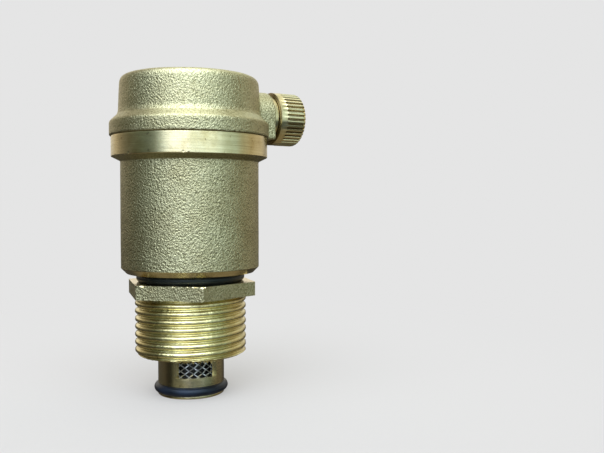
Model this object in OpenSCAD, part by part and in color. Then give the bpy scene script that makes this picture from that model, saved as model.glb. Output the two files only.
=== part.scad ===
// Automatic air vent with a spring-loaded shut-off cartridge, in millimetres.
// The origin is on the vertical axis at the underside of the hexagon, where the
// inlet thread begins. +Z is up, and +X runs out through the outlet.
// Turning the vent up out of its nipple lets the cartridge rise and close.

/* [Inlet nipple] */
// Major diameter of the inlet thread
inlet_d = 33.25; // [33.1:0.05:33.5]
// Pitch of the inlet thread
inlet_pitch = 2.309; // [2.2:0.001:2.4]
// Length of the inlet thread
inlet_len = 17.6; // [17.4:0.1:18]
// Chamfer at the end of the inlet thread
inlet_chamfer = 0.7; // [0.5:0.1:1]
// Width of the hexagon across its flats
hex_af = 35; // [34.6:0.1:36]
// Thickness of the hexagon
hex_t = 4.1; // [3.8:0.1:4.6]
// Turn of the hexagon about the vertical axis
hex_turn = 17; // [0:1:59]
// Slope of the chamfer on the hexagon's upper corners
hex_slope = 30; // [20:1:35]
// Width of that chamfer at a corner
hex_nick = 0.7; // [0.4:0.1:1]
// Thickness of the lip that guides the plunger
lip_t = 2.3; // [2:0.1:2.6]

/* [Thread between nipple and vent] */
// Major diameter of the thread
spigot_d = 26.44; // [26.3:0.02:26.5]
// Pitch of the thread
spigot_pitch = 1.814; // [1.7:0.002:1.814]
// Length of the spigot below the body
spigot_len = 15.7; // [15.5:0.1:15.8]
// Turns from fully tight to shut off
release_turns = 4.8; // [4:0.2:4.8]
// Bore of the spigot
spigot_bore_d = 20.8; // [20:0.1:21.4]

/* [Body] */
// Outside diameter of the body
body_d = 41.14; // [40.8:0.02:41.6]
// Chamfer around the bottom of the body
body_chamfer = 1.6; // [1:0.1:2]
// Height of the body from its bottom face to its upper rim
body_h = 40.5; // [40:0.1:41]
// Outside diameter of the machined rim
rim_d = 46.4; // [46:0.1:47]
// Height of the machined rim
rim_h = 6; // [5.5:0.1:6.4]
// Height of the slope under the rim
rim_slope_h = 1.3; // [0.8:0.1:1.6]
// Bore of the float chamber
chamber_d = 36.8; // [36.6:0.1:37]
// Thickness of the chamber floor
floor_t = 3; // [2.6:0.1:3.2]

/* [Cover] */
// Diameter of the cover's flange
flange_d = 47.4; // [47:0.1:48]
// Height of the flange's upright side
flange_h = 4.1; // [3.8:0.1:4.4]
// Height of the shoulder over the flange
shoulder_h = 2.65; // [2.4:0.05:2.8]
// Diameter of the cover's side at the shoulder
side_d = 42.2; // [42:0.1:42.4]
// Diameter of the cover's side below its top edge
crown_d = 41.2; // [41:0.1:41.6]
// Height of the cover over the body's rim
cover_h = 17.8; // [17.4:0.1:18.2]
// Radius of the cover's top edge
crown_r = 2.4; // [2:0.1:2.8]
// Thickness of the cover's top
top_t = 3; // [2.6:0.1:3.2]
// Height of the plain relief pads on the top
pad_h = 0.5; // [0.3:0.1:0.6]

/* [Outlet] */
// Height of the outlet's axis over the body's rim
outlet_rise = 7.2; // [7:0.1:7.4]
// Width of the cast outlet boss
boss_w = 15.6; // [15:0.1:16]
// Reach of the cast boss from the vertical axis
boss_reach = 25.4; // [25:0.1:25.6]
// Diameter of the machined outlet collar
collar_d = 14.6; // [14.2:0.1:15.2]
// Length of the machined outlet collar
collar_len = 1.4; // [1.2:0.1:1.6]
// Outside diameter of the outlet cap
cap_d = 16.8; // [16.4:0.1:17]
// Length of the outlet cap
cap_len = 9.2; // [9:0.1:9.6]
// Length of the cap's plain band
band_len = 2.4; // [2:0.1:2.8]
// Number of ridges round the cap
ridge_count = 38; // [30:1:40]
// Diameter of the cap's outlet hole
vent_hole_d = 2; // [1.6:0.1:2.2]
// Turns that open the outlet cap
cap_turns = 2; // [1:0.5:2]
// Pitch of the outlet cap's thread
cap_pitch = 1.337; // [1.2:0.001:1.34]

/* [Shut-off cartridge] */
// Diameter of the plunger
plunger_d = 19.8; // [19.6:0.05:19.9]
// Depth of the plunger's end below the hexagon
plunger_reach = 29.8; // [29.6:0.1:30]
// Section of the plunger's O-ring
plunger_ring_t = 2.65; // [2.6:0.05:2.65]
// Diameter of the cutter that opens the windows
cutter_d = 19; // [18:0.5:19]
// Distance of the cutter from the vertical axis
cutter_offset = 15.1; // [15:0.1:15.4]
// Direction of the front window about the vertical axis
window_turn = -102.4; // [-180:0.1:180]
// Section of the O-ring under the body
body_ring_t = 2.6; // [2.5:0.05:2.7]

/* [Float and lever] */
// Diameter of the float
float_d = 35.2; // [35:0.1:35.4]
// Height of the float
float_h = 31; // [28:0.5:31]
// Distance of the lever's pin from the vertical axis
pin_x = 9.5; // [9.4:0.1:9.6]
// Drop of the lever's pin below the outlet's axis
pin_drop = 5.4; // [5.2:0.1:5.6]
// Swing of the lever
lever_swing = 15; // [12:1:15]

/* [Hidden] */
$fn = 96;

// Colours
brass = [0.74, 0.66, 0.38];
bright_brass = [0.84, 0.74, 0.4];
black_rubber = [0.09, 0.1, 0.12];
steel = [0.7, 0.71, 0.72];
white_plastic = [0.88, 0.88, 0.84];
black_plastic = [0.06, 0.06, 0.06];

// Gaps between pieces
eps = 0.01;
contact_gap = 0.02;
running_gap = 0.06;
cut = 1;

// Nipple
inlet_r = inlet_d / 2;
thread_depth_share = 0.6403;
thread_depth = thread_depth_share * inlet_pitch;
crest_w = inlet_pitch / 6;
flank_w = inlet_pitch / 3;
thread_turns = ceil(inlet_len / inlet_pitch);
inlet_end_r = inlet_r - thread_depth;
hex_corner_r = hex_af / sqrt(3);
spigot_r = spigot_d / 2;
spigot_end_z = hex_t + body_ring_t - spigot_len;
spring_room_r = 12.2;
spring_top_z = -10.5;
lip_top_z = lip_t - inlet_len;
nipple_bore_chamfer = 0.6;

// Body
body_z = hex_t + body_ring_t;
body_r = body_d / 2;
split_z = body_z + body_h;
rim_r = rim_d / 2;
chamber_r = chamber_d / 2;
floor_z = body_z + floor_t;
floor_fillet = 1.5;
rim_bore_r = 20.45;
rim_step_z = split_z - 5.5;
gasket_t = 1;
spigot_chamfer = 0.8;

// Cover
joint_gap = 0.05;
cover_z = split_z + joint_gap;
flange_r = flange_d / 2;
flange_round = 1;
shoulder_angle = 45;
flange_drop = flange_round * tan(shoulder_angle / 2);
side_r = side_d / 2;
crown_side_r = crown_d / 2;
shoulder_z = cover_z + flange_h;
side_z = shoulder_z + shoulder_h;
top_z = split_z + cover_h;
cover_bore_r = 18.2;
cover_bore_top = top_z - top_t;
cover_spigot_gap = 0.1;
cover_spigot_r = rim_bore_r - cover_spigot_gap;
lower_fillet_end = [0.6, -0.75];
lower_fillet_middle = [0.15, -0.2];
crown_start_rise = 0.4;
crown_start_angle = 3;

// Relief pads on the top, in place of cast lettering
pad_ring_r = 14.5;
pad_size = [5, 3.4];
pad_round = 0.8;
pad_arc_step = 37;
pad_arc_start = -164;
pad_row_y = 6.6;
pad_row_step = 7;

// Outlet
outlet_z = split_z + outlet_rise;
boss_r = boss_w / 2;
boss_lift = 0.3;
collar_end = boss_reach + collar_len;
stub_r = 6.55;
stub_neck_r = 5.9;
stub_neck_len = 1.2;
stub_end = 33.5;
stub_chamfer = 0.5;
jet_bore_r = 3.02;
inner_boss_r = 6.5;
inner_boss_x = 16;
cap_gap = 0.2;
cap_x = collar_end + cap_gap;
cap_end = cap_x + cap_len;
cap_r = cap_d / 2;
cap_bore_r = stub_r + running_gap;
cap_end_chamfer = 1;
cap_inner_chamfer = 0.4;
washer_r = 6.3;
washer_t = 1.2;
washer_x = stub_end + contact_gap;
groove_w = 0.42;
groove_depth = 0.45;
vent_hole_clear = 0.27;
vent_hole_x = stub_end + vent_hole_d / 2 - cap_turns * cap_pitch + vent_hole_clear;
vent_hole_turn = -50;

// Cartridge
plunger_r = plunger_d / 2;
plunger_bore_r = 8.6;
plunger_head_r = 11.9;
plunger_top_z = spigot_end_z - contact_gap;
plunger_floor_z = -24.7;
plunger_round = 0.35;
ring_stop_gap = 0.06;
ring_side_gap = 0.025;
ring_groove_top = -(inlet_len + spigot_pitch * release_turns + ring_stop_gap);
ring_groove_h = plunger_ring_t + 2 * ring_side_gap;
ring_groove_r = 8.38;
ring_centre_r = ring_groove_r + contact_gap + plunger_ring_t / 2;
ring_centre_z = ring_groove_top - ring_groove_h / 2;
window_bottom_z = -23.7;
window_h = 8.2;
mesh_r = 8.5;
mesh_t = 0.4;
mesh_top_z = -12;
strainer_ring_h = 1;
strainer_ring_bore_r = 7.7;
core_r = 5.6;
core_foot_r = 7.9;
core_foot_t = 1;
core_top_z = -12.5;
core_round = 2;
spring_wire_r = 0.45;
spring_mean_r = 11.1;
spring_turns = 3.5;
spring_steps = 24;
spring_sides = 8;
body_ring_r = body_ring_t / 2 - eps;
body_ring_outer_r = 16.2;
body_ring_centre_r = body_ring_outer_r - body_ring_r;

// Bracket, jet and lever
plate_t = 1;
plate_x = inner_boss_x - plate_t;
plate_half_w = 6.2;
plate_top = outlet_z + 5;
cheek_top = 2;
cheek_t = 0.8;
cheek_inner_y = plate_half_w - cheek_t;
bracket_bottom = outlet_z - 7.6;
cheek_nose_x = 7.2;
jet_flange_r = 4;
jet_flange_t = 1.2;
jet_nose_r = 1.7;
jet_nose_len = 1.3;
pad_seat_gap = 0.04;
jet_seat_x = plate_x - jet_flange_t - jet_nose_len;
jet_shank_r = 3;
jet_orifice_r = 0.9;
jet_shank_end = 24;
jet_ring_x = 19;
jet_ring_t = 1;
jet_groove_r = 2.1;
pin_z = outlet_z - pin_drop;
pin_r = 1;
pin_hole_gap = 0.03;
pin_head_r = 1.8;
pin_head_t = 0.6;
pin_reach = 7.6;
clip_gap = 0.1;
clip_y = plate_half_w + clip_gap;
clip_t = 0.4;
clip_r = 2.2;
clip_groove_r = 0.75;
knuckle_r = 2;
knuckle_half_w = 3.4;
arm_t = 1.2;
arm_half_w = 3;
arm_len = pin_x / cos(lever_swing / 2);
arm_reach = arm_len + 2.4;
arm_hole_r = 1.2;
upright_offset = 0.1;
upright_x = pin_x + upright_offset;
upright_top = outlet_z + 2.9;
pad_r = 2.3;
pad_x = upright_x + arm_t;
pad_stem_r = 1;
pad_bead_r = 1.7;
pad_bead_t = 0.7;
pad_front_x = jet_seat_x - pad_seat_gap;
coil_wire_r = 0.25;
coil_mean_r = 1.6;
coil_y = 4.3;
coil_count = 3;
leg_gap = 0.45;
leg_end_x = plate_x - leg_gap;
leg_top_z = outlet_z - 2;

// Float
float_z = floor_z + 2.3;
float_r = float_d / 2;
float_wall = 0.7;
float_top_z = float_z + float_h;
lid_t = 1.5;
float_round = 2;
lid_plug_h = 1.5;
lid_boss_r = 3;
lid_boss_h = 1.6;
stem_r = 0.6;
stem_root_depth = 2;
arm_tip_z = pin_z - arm_len * sin(lever_swing / 2);
stem_play = 0.35;
stem_head_z = arm_tip_z + arm_t / 2 / cos(lever_swing / 2) + stem_play;
stem_head_r = 2;
stem_head_t = 0.8;

// Points of an arc about (cx, cy), from angle a0 to a1
function arc(cx, cy, r, a0, a1, n = 8) =
    [for (i = [0:n]) let (a = a0 + (a1 - a0) * i / n) [cx + r * cos(a), cy + r * sin(a)]];

// One turn of the inlet thread's profile, downwards from height z
function thread_turn(z) = [
    [inlet_r, z],
    [inlet_r, z - crest_w],
    [inlet_end_r, z - crest_w - flank_w],
    [inlet_end_r, z - 2 * crest_w - flank_w]
];

// Ring of the wire's section at step i of the spring
function spring_ring(i, z0, rise) = let (
    turn = 360 * i / spring_steps,
    z = z0 + rise * i / (spring_turns * spring_steps)
) [for (s = [0:spring_sides - 1]) let (
    a = 360 * s / spring_sides,
    r = spring_mean_r + spring_wire_r * cos(a)
) [r * cos(turn), r * sin(turn), z + spring_wire_r * sin(a)]];

module tube(r_out, r_in, z0, z1) {
    rotate_extrude()
        translate([r_in, z0])
            square([r_out - r_in, z1 - z0]);
}

module torus(r_mean, r_wire) {
    rotate_extrude()
        translate([r_mean, 0])
            circle(r = r_wire, $fn = 48);
}

// Rod along +X from x0 to x1 at height z
module rod_x(r, x0, x1, z) {
    translate([x0, 0, z])
        rotate([0, 90, 0])
            cylinder(r = r, h = x1 - x0);
}

// Rod along +Y from y0 to y1 through (x, z)
module rod_y(r, y0, y1, x, z) {
    translate([x, y0, z])
        rotate([-90, 0, 0])
            cylinder(r = r, h = y1 - y0);
}

// Revolved profile about the outlet's axis, its height measured along +X
module turned_about_outlet() {
    translate([0, 0, outlet_z])
        rotate([0, 90, 0])
            rotate_extrude()
                children();
}

// Anything drawn with the valve shut, swung to where the empty vent leaves it
module lever_at_rest() {
    translate([pin_x, 0, pin_z])
        rotate([0, -lever_swing, 0])
            translate([-pin_x, 0, -pin_z])
                children();
}

module inlet_thread_rings() {
    points = [for (k = [0:thread_turns]) each thread_turn(-k * inlet_pitch)];
    bottom = points[len(points) - 1][1];
    intersection() {
        rotate_extrude()
            polygon(concat([[spring_room_r, 0]], points, [[spring_room_r, bottom]]));
        rotate_extrude()
            polygon([
                [0, 0],
                [inlet_r + cut, 0],
                [inlet_r + cut, inlet_chamfer - inlet_len],
                [inlet_r, inlet_chamfer - inlet_len],
                [inlet_end_r, -inlet_len],
                [0, -inlet_len]
            ]);
    }
}

module chamfered_hexagon() {
    nick_r = hex_corner_r - hex_nick;
    intersection() {
        rotate([0, 0, hex_turn])
            cylinder(r = hex_corner_r, h = hex_t, $fn = 6);
        rotate_extrude()
            polygon([
                [0, 0],
                [hex_corner_r + cut, 0],
                [hex_corner_r + cut, hex_t - (hex_nick + cut) * tan(hex_slope)],
                [nick_r, hex_t],
                [0, hex_t]
            ]);
    }
}

module hex_nipple() {
    color(bright_brass)
    difference() {
        union() {
            inlet_thread_rings();
            chamfered_hexagon();
        }
        rotate_extrude()
            polygon([
                [0, hex_t + cut],
                [spigot_r + running_gap + nipple_bore_chamfer, hex_t + cut],
                [spigot_r + running_gap + nipple_bore_chamfer, hex_t],
                [spigot_r + running_gap, hex_t - nipple_bore_chamfer],
                [spigot_r + running_gap, spring_top_z],
                [spring_room_r, spring_top_z],
                [spring_room_r, lip_top_z],
                [plunger_r + running_gap, lip_top_z],
                [plunger_r + running_gap, -inlet_len - cut],
                [0, -inlet_len - cut]
            ]);
    }
}

module check_spring() {
    z0 = lip_top_z + spring_wire_r + contact_gap;
    rise = spring_top_z - lip_top_z - 2 * (spring_wire_r + contact_gap);
    last = spring_turns * spring_steps;
    points = [for (i = [0:last]) each spring_ring(i, z0, rise)];
    sides = [for (i = [0:last - 1], s = [0:spring_sides - 1]) let (
        a = i * spring_sides,
        b = a + spring_sides,
        t = (s + 1) % spring_sides
    ) [a + s, b + s, b + t, a + t]];
    start_cap = [for (s = [0:spring_sides - 1]) s];
    end_cap = [for (s = [spring_sides - 1:-1:0]) last * spring_sides + s];
    color(steel)
    polyhedron(points, concat(sides, [start_cap, end_cap]), convexity = 8);
}

module check_plunger() {
    color(brass)
    difference() {
        rotate_extrude()
            polygon(concat(
                [
                    [0, -plunger_reach],
                    [plunger_r - plunger_round, -plunger_reach]
                ],
                arc(plunger_r - plunger_round, plunger_round - plunger_reach, plunger_round, -90, 0, 4),
                [
                    [plunger_r, ring_groove_top - ring_groove_h],
                    [ring_groove_r, ring_groove_top - ring_groove_h],
                    [ring_groove_r, ring_groove_top],
                    [plunger_r, ring_groove_top],
                    [plunger_r, spring_top_z],
                    [plunger_head_r, spring_top_z],
                    [plunger_head_r, plunger_top_z],
                    [plunger_bore_r, plunger_top_z],
                    [plunger_bore_r, plunger_floor_z],
                    [0, plunger_floor_z]
                ]
            ));
        for (turn = [window_turn, window_turn + 180])
            rotate([0, 0, turn])
                translate([cutter_offset, 0, window_bottom_z])
                    cylinder(d = cutter_d, h = window_h);
    }
}

module check_oring() {
    color(black_rubber)
    translate([0, 0, ring_centre_z])
        torus(ring_centre_r, plunger_ring_t / 2);
}

module strainer_mesh() {
    color(steel)
    tube(mesh_r, mesh_r - mesh_t, plunger_floor_z, mesh_top_z);
}

module strainer_ring() {
    color(steel)
    tube(plunger_bore_r - contact_gap, strainer_ring_bore_r, mesh_top_z, mesh_top_z + strainer_ring_h);
}

module strainer_core() {
    color(black_plastic)
    rotate_extrude()
        polygon(concat(
            [
                [0, plunger_floor_z],
                [core_foot_r, plunger_floor_z],
                [core_foot_r, plunger_floor_z + core_foot_t],
                [core_r, plunger_floor_z + core_foot_t]
            ],
            arc(core_r - core_round, core_top_z - core_round, core_round, 0, 90, 6),
            [[0, core_top_z]]
        ));
}

module body_oring() {
    color(black_rubber)
    translate([0, 0, body_z - body_ring_t / 2])
        torus(body_ring_centre_r, body_ring_r);
}

module vent_body() {
    color(brass)
    rotate_extrude()
        polygon(concat(
            [
                [spigot_bore_d / 2, spigot_end_z],
                [spigot_r - spigot_chamfer, spigot_end_z],
                [spigot_r, spigot_end_z + spigot_chamfer],
                [spigot_r, body_z],
                [body_r - body_chamfer, body_z],
                [body_r, body_z + body_chamfer],
                [body_r, split_z - rim_h - rim_slope_h],
                [rim_r, split_z - rim_h],
                [rim_r, split_z],
                [rim_bore_r, split_z],
                [rim_bore_r, rim_step_z],
                [chamber_r, rim_step_z]
            ],
            arc(chamber_r - floor_fillet, floor_z + floor_fillet, floor_fillet, 0, -90, 5),
            [[spigot_bore_d / 2, floor_z]]
        ));
}

module cover_gasket() {
    color(black_rubber)
    tube(cover_spigot_r, chamber_r + running_gap, rim_step_z, rim_step_z + gasket_t);
}

module cover_shell() {
    rotate_extrude()
        polygon(concat(
            [
                [cover_bore_r, rim_step_z + gasket_t],
                [cover_spigot_r, rim_step_z + gasket_t],
                [cover_spigot_r, cover_z],
                [flange_r, cover_z]
            ],
            arc(flange_r - flange_round, shoulder_z - flange_drop, flange_round, 0, shoulder_angle, 4),
            [
                [side_r, side_z] + lower_fillet_end,
                [side_r, side_z] + lower_fillet_middle,
                [side_r, side_z + crown_start_rise]
            ],
            arc(crown_side_r - crown_r, top_z - crown_r, crown_r, crown_start_angle, 90, 8),
            [
                [0, top_z],
                [0, cover_bore_top],
                [cover_bore_r, cover_bore_top]
            ]
        ));
}

module outlet_boss() {
    difference() {
        translate([chamber_r, 0, 0])
            rotate([90, 0, 90])
                linear_extrude(boss_reach - chamber_r)
                    union() {
                        translate([0, outlet_z + boss_lift])
                            circle(r = boss_r);
                        translate([-boss_r, cover_z])
                            square([boss_w, outlet_z + boss_lift - cover_z]);
                    }
        translate([0, 0, rim_step_z])
            cylinder(r = cover_bore_r, h = cover_bore_top - rim_step_z);
    }
}

module outlet_stub() {
    turned_about_outlet()
        polygon([
            [0, boss_reach - cut],
            [collar_d / 2, boss_reach - cut],
            [collar_d / 2, collar_end],
            [stub_neck_r, collar_end],
            [stub_neck_r, collar_end + stub_neck_len],
            [stub_r, collar_end + stub_neck_len + (stub_r - stub_neck_r)],
            [stub_r, stub_end - stub_chamfer],
            [stub_r - stub_chamfer, stub_end],
            [0, stub_end]
        ]);
}

// Raised pad with rounded corners
module relief_pad() {
    w = pad_size[0] - 2 * pad_round;
    l = pad_size[1] - 2 * pad_round;
    translate([0, 0, top_z - contact_gap])
        linear_extrude(pad_h + contact_gap)
            union() {
                square([w, pad_size[1]], center = true);
                square([pad_size[0], l], center = true);
                for (x = [-w / 2, w / 2], y = [-l / 2, l / 2])
                    translate([x, y])
                        circle(r = pad_round, $fn = 24);
            }
}

module cover() {
    color(brass)
    difference() {
        union() {
            cover_shell();
            outlet_boss();
            outlet_stub();
            rod_x(inner_boss_r, inner_boss_x, chamber_r + cut, outlet_z);
            for (i = [0:4])
                rotate([0, 0, pad_arc_start + i * pad_arc_step])
                    translate([pad_ring_r, 0, 0])
                        rotate([0, 0, 90])
                            relief_pad();
            for (i = [-1.5:1:1.5])
                translate([i * pad_row_step, pad_row_y, 0])
                    relief_pad();
        }
        rod_x(jet_bore_r, inner_boss_x - cut, stub_end + cut, outlet_z);
    }
}

module outlet_jet() {
    color(bright_brass)
    turned_about_outlet()
        polygon([
            [jet_orifice_r, jet_seat_x],
            [jet_nose_r, jet_seat_x],
            [jet_nose_r, jet_seat_x + jet_nose_len],
            [jet_flange_r, jet_seat_x + jet_nose_len],
            [jet_flange_r, plate_x],
            [jet_shank_r, plate_x],
            [jet_shank_r, jet_ring_x],
            [jet_groove_r, jet_ring_x],
            [jet_groove_r, jet_ring_x + jet_ring_t],
            [jet_shank_r, jet_ring_x + jet_ring_t],
            [jet_shank_r, jet_shank_end],
            [jet_orifice_r, jet_shank_end]
        ]);
}

module jet_oring() {
    wire_r = (jet_bore_r - jet_groove_r) / 2 - eps;
    color(black_rubber)
    translate([jet_ring_x + jet_ring_t / 2, 0, outlet_z])
        rotate([0, 90, 0])
            torus(jet_groove_r + eps + wire_r, wire_r);
}

module lever_bracket() {
    color(steel)
    difference() {
        union() {
            translate([plate_x, -plate_half_w, bracket_bottom])
                cube([plate_t, 2 * plate_half_w, plate_top - bracket_bottom]);
            for (y = [-plate_half_w, cheek_inner_y])
                translate([0, y + cheek_t, 0])
                    rotate([90, 0, 0])
                        linear_extrude(cheek_t)
                            polygon([
                                [plate_x + eps, bracket_bottom],
                                [cheek_nose_x, bracket_bottom],
                                [cheek_nose_x, pin_z + cheek_top],
                                [plate_x + eps, outlet_z]
                            ]);
        }
        rod_x(jet_shank_r + running_gap, plate_x - cut, inner_boss_x + cut, outlet_z);
        rod_y(pin_r + contact_gap, -plate_half_w - cut, plate_half_w + cut, pin_x, pin_z);
    }
}

module lever_pin() {
    color(steel)
    difference() {
        union() {
            rod_y(pin_r, -plate_half_w, pin_reach, pin_x, pin_z);
            rod_y(pin_head_r, -plate_half_w - pin_head_t, -plate_half_w, pin_x, pin_z);
        }
        difference() {
            rod_y(pin_r + cut, clip_y, clip_y + clip_t + contact_gap, pin_x, pin_z);
            rod_y(clip_groove_r, clip_y - cut, clip_y + clip_t + cut, pin_x, pin_z);
        }
    }
}

module pin_clip() {
    color(steel)
    difference() {
        rod_y(clip_r, clip_y + eps, clip_y + clip_t, pin_x, pin_z);
        rod_y(clip_groove_r + eps, clip_y - cut, clip_y + cut, pin_x, pin_z);
        translate([pin_x - clip_groove_r, clip_y - cut, pin_z - clip_r - cut])
            cube([2 * clip_groove_r, 2 * cut, clip_r + cut]);
    }
}

module valve_lever() {
    color(steel)
    lever_at_rest()
        difference() {
            union() {
                rod_y(knuckle_r, -knuckle_half_w, knuckle_half_w, pin_x, pin_z);
                translate([upright_x, -arm_half_w, pin_z])
                    cube([arm_t, 2 * arm_half_w, upright_top - pin_z]);
                translate([pin_x, 0, pin_z])
                    rotate([0, lever_swing / 2, 0])
                        translate([-arm_reach, -arm_half_w, -arm_t / 2])
                            cube([arm_reach, 2 * arm_half_w, arm_t]);
            }
            rod_y(pin_r + pin_hole_gap, -knuckle_half_w - cut, knuckle_half_w + cut, pin_x, pin_z);
            rod_x(pad_stem_r + contact_gap, pin_x, pad_x + cut, outlet_z);
            translate([pin_x, 0, pin_z])
                rotate([0, lever_swing / 2, 0])
                    translate([-arm_len, 0, -arm_t])
                        cylinder(r = arm_hole_r, h = 2 * arm_t);
        }
}

module valve_pad() {
    color(black_rubber)
    lever_at_rest()
        turned_about_outlet()
            polygon([
                [0, upright_x - pad_bead_t],
                [pad_bead_r, upright_x - pad_bead_t],
                [pad_bead_r, upright_x],
                [pad_stem_r, upright_x],
                [pad_stem_r, pad_x],
                [pad_r, pad_x],
                [pad_r, pad_front_x],
                [0, pad_front_x]
            ]);
}

module lever_spring() {
    pitch = 2 * coil_wire_r + contact_gap;
    color(steel)
    lever_at_rest()
        union() {
            for (i = [0:coil_count - 1])
                translate([pin_x, coil_y + (i - 1) * (pitch - 2 * contact_gap), pin_z])
                    rotate([90, 0, 0])
                        torus(coil_mean_r, coil_wire_r);
            translate([pin_x - coil_mean_r, coil_y - pitch, pin_z])
                cylinder(r = coil_wire_r, h = leg_top_z - pin_z, $fn = 24);
            translate([0, coil_y + pitch, 0])
                rod_x(coil_wire_r, pin_x, leg_end_x, pin_z - coil_mean_r, $fn = 24);
        }
}

module float_shell() {
    inner_r = float_r - float_wall;
    color(white_plastic)
    rotate_extrude()
        polygon(concat(
            [[0, float_z]],
            arc(float_r - float_round, float_z + float_round, float_round, -90, 0, 5),
            [
                [float_r, float_top_z - lid_t],
                [inner_r, float_top_z - lid_t]
            ],
            arc(inner_r - float_wall, float_z + 2 * float_wall, float_wall, 0, -90, 4),
            [[0, float_z + float_wall]]
        ));
}

module float_lid() {
    color(white_plastic)
    difference() {
        union() {
            translate([0, 0, float_top_z - lid_t])
                cylinder(r = float_r, h = lid_t);
            translate([0, 0, float_top_z - lid_t - lid_plug_h])
                cylinder(r = float_r - float_wall - contact_gap, h = lid_plug_h + eps);
            translate([0, 0, float_top_z - eps])
                cylinder(r = lid_boss_r, h = lid_boss_h + eps);
        }
        translate([0, 0, float_top_z + lid_boss_h - stem_root_depth])
            cylinder(r = stem_r, h = stem_root_depth + cut);
    }
}

module float_stem() {
    root_z = float_top_z + lid_boss_h - stem_root_depth;
    color(steel)
    union() {
        translate([0, 0, root_z])
            cylinder(r = stem_r, h = stem_head_z - root_z + eps);
        translate([0, 0, stem_head_z])
            cylinder(r = stem_head_r, h = stem_head_t);
    }
}

module outlet_washer() {
    color(black_rubber)
    rod_x(washer_r, washer_x, washer_x + washer_t, outlet_z);
}

// Section of the cap's outside, with the grooves between its ridges
module ridged_outline() {
    difference() {
        circle(r = cap_r);
        for (i = [0:ridge_count - 1])
            rotate(360 * i / ridge_count)
                translate([cap_r - groove_depth, -groove_w / 2])
                    square([groove_depth + cut, groove_w]);
    }
}

module outlet_cap() {
    cavity_end = washer_x + washer_t + contact_gap;
    color(bright_brass)
    difference() {
        union() {
            rod_x(cap_r, cap_x, cap_x + band_len, outlet_z);
            translate([cap_x + band_len - eps, 0, outlet_z])
                rotate([0, 90, 0])
                    linear_extrude(cap_len - band_len + eps)
                        ridged_outline();
        }
        turned_about_outlet()
            polygon([
                [cap_r - cap_end_chamfer, cap_end],
                [cap_r + cut, cap_end - cap_end_chamfer - cut],
                [cap_r + cut, cap_end + cut],
                [cap_r - cap_end_chamfer, cap_end + cut]
            ]);
        turned_about_outlet()
            polygon([
                [0, cap_x - cut],
                [cap_bore_r + cap_inner_chamfer, cap_x - cut],
                [cap_bore_r + cap_inner_chamfer, cap_x],
                [cap_bore_r, cap_x + cap_inner_chamfer],
                [cap_bore_r, cavity_end],
                [0, cavity_end]
            ]);
        translate([vent_hole_x, 0, outlet_z])
            rotate([vent_hole_turn, 0, 0])
                cylinder(d = vent_hole_d, h = cap_r + cut, $fn = 32);
    }
}

hex_nipple();
check_spring();
check_plunger();
check_oring();
strainer_mesh();
strainer_ring();
strainer_core();
body_oring();
vent_body();
cover_gasket();
cover();
outlet_jet();
jet_oring();
lever_bracket();
lever_pin();
pin_clip();
valve_lever();
valve_pad();
lever_spring();
float_shell();
float_lid();
float_stem();
outlet_washer();
outlet_cap();
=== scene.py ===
import math

import bmesh
import bpy
from mathutils import Matrix, Vector, noise


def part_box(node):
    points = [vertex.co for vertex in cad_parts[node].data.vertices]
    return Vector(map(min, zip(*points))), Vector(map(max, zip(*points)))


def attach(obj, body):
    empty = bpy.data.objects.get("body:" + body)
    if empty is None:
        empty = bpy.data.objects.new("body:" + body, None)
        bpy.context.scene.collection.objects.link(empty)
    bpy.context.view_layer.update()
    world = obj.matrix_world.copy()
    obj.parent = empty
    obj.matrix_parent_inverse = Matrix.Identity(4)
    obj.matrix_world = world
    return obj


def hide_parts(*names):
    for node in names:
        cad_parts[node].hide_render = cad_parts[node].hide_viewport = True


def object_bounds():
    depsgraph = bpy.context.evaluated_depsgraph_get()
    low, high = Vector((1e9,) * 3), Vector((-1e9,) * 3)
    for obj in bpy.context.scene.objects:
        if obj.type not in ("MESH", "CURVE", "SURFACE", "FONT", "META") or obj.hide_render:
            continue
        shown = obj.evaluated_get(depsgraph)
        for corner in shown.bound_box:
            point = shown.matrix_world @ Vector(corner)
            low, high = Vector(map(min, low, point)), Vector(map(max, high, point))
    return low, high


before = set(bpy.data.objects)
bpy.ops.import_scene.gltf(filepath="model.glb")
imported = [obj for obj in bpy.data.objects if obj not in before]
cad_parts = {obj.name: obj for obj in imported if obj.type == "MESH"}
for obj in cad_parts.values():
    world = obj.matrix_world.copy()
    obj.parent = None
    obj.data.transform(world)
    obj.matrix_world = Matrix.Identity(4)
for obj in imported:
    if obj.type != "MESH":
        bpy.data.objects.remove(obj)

cad_low, cad_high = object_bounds()

MM = 0.001
TURN = 2 * math.pi
# Steps round a turned shape
FINE = 384
COARSE = 192


# ---------------------------------------------------------------- sizes
def round_size(node):
    """Radius, lowest z and highest z of a node that is round about the vertical axis, in mm."""
    low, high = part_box(node)
    return high.y / MM, low.z / MM, high.z / MM


rim_r, spigot_end_z, split_z = round_size("vent_body")
flange_r, _, pads_top_z = round_size("cover")
body_ring_r, hex_top_z, body_z = round_size("body_oring")
plunger_head_r, plunger_end_z, plunger_top_z = round_size("check_plunger")
plunger_ring_r, plunger_ring_low_z, plunger_ring_high_z = round_size("check_oring")
mesh_r, mesh_low_z, mesh_top_z = round_size("strainer_mesh")
_, inlet_end_z, _ = round_size("hex_nipple")
cap_low, cap_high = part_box("outlet_cap")
cap_r = (cap_high.y - cap_low.y) / 2 / MM
cap_x = cap_low.x / MM
cap_end_x = cap_high.x / MM
outlet_z = (cap_high.z + cap_low.z) / 2 / MM
stub_end_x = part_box("cover")[1].x / MM
floor_z = cad_low.z

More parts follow.
